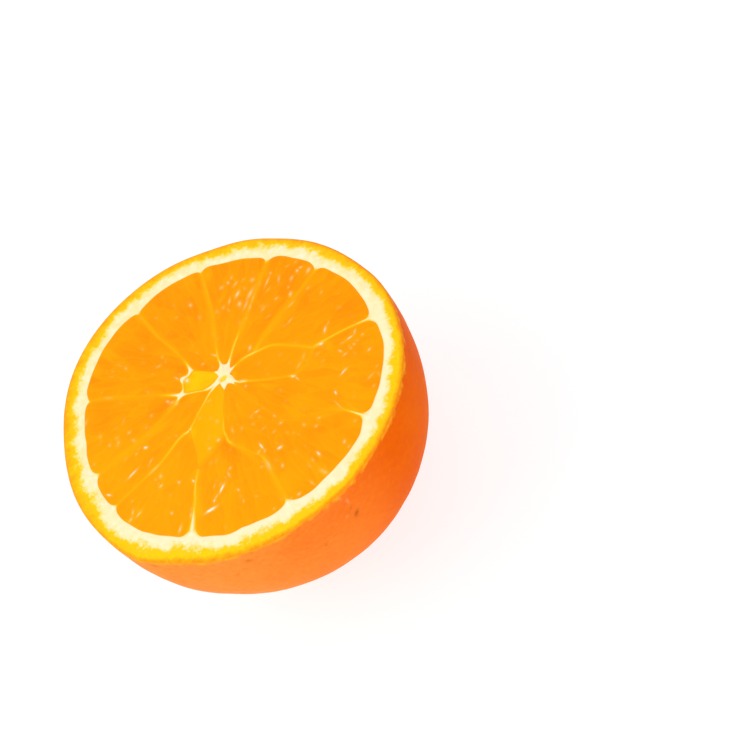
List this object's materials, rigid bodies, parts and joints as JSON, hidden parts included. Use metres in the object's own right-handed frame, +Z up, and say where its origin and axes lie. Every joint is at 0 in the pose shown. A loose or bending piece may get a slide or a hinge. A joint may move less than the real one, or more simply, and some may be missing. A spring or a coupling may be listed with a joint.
{
  "type": "orange half",
  "caption": "Half of an orange, cut across its middle, resting on its rounded skin with the juicy cut face up.",
  "frame": {"origin": "on the floor, under the middle of the half's box", "axes": "+Z up, out of the cut face; +Y away from the viewer of the picture; +X to the right"},
  "size_m": [0.0758, 0.0762, 0.0439],
  "materials": {
    "peel": "waxy pored orange skin, satin sheen",
    "rind": "cut rind, yellow at the skin and cream white inside, matt",
    "pulp": "wet juice sacs, glossy and translucent",
    "membrane": "thin pale membrane, moist",
    "pith": "soft cream white core"
  },
  "bodies": {
    "root": {"orange_half": "peel"}
  },
  "joints": []
}
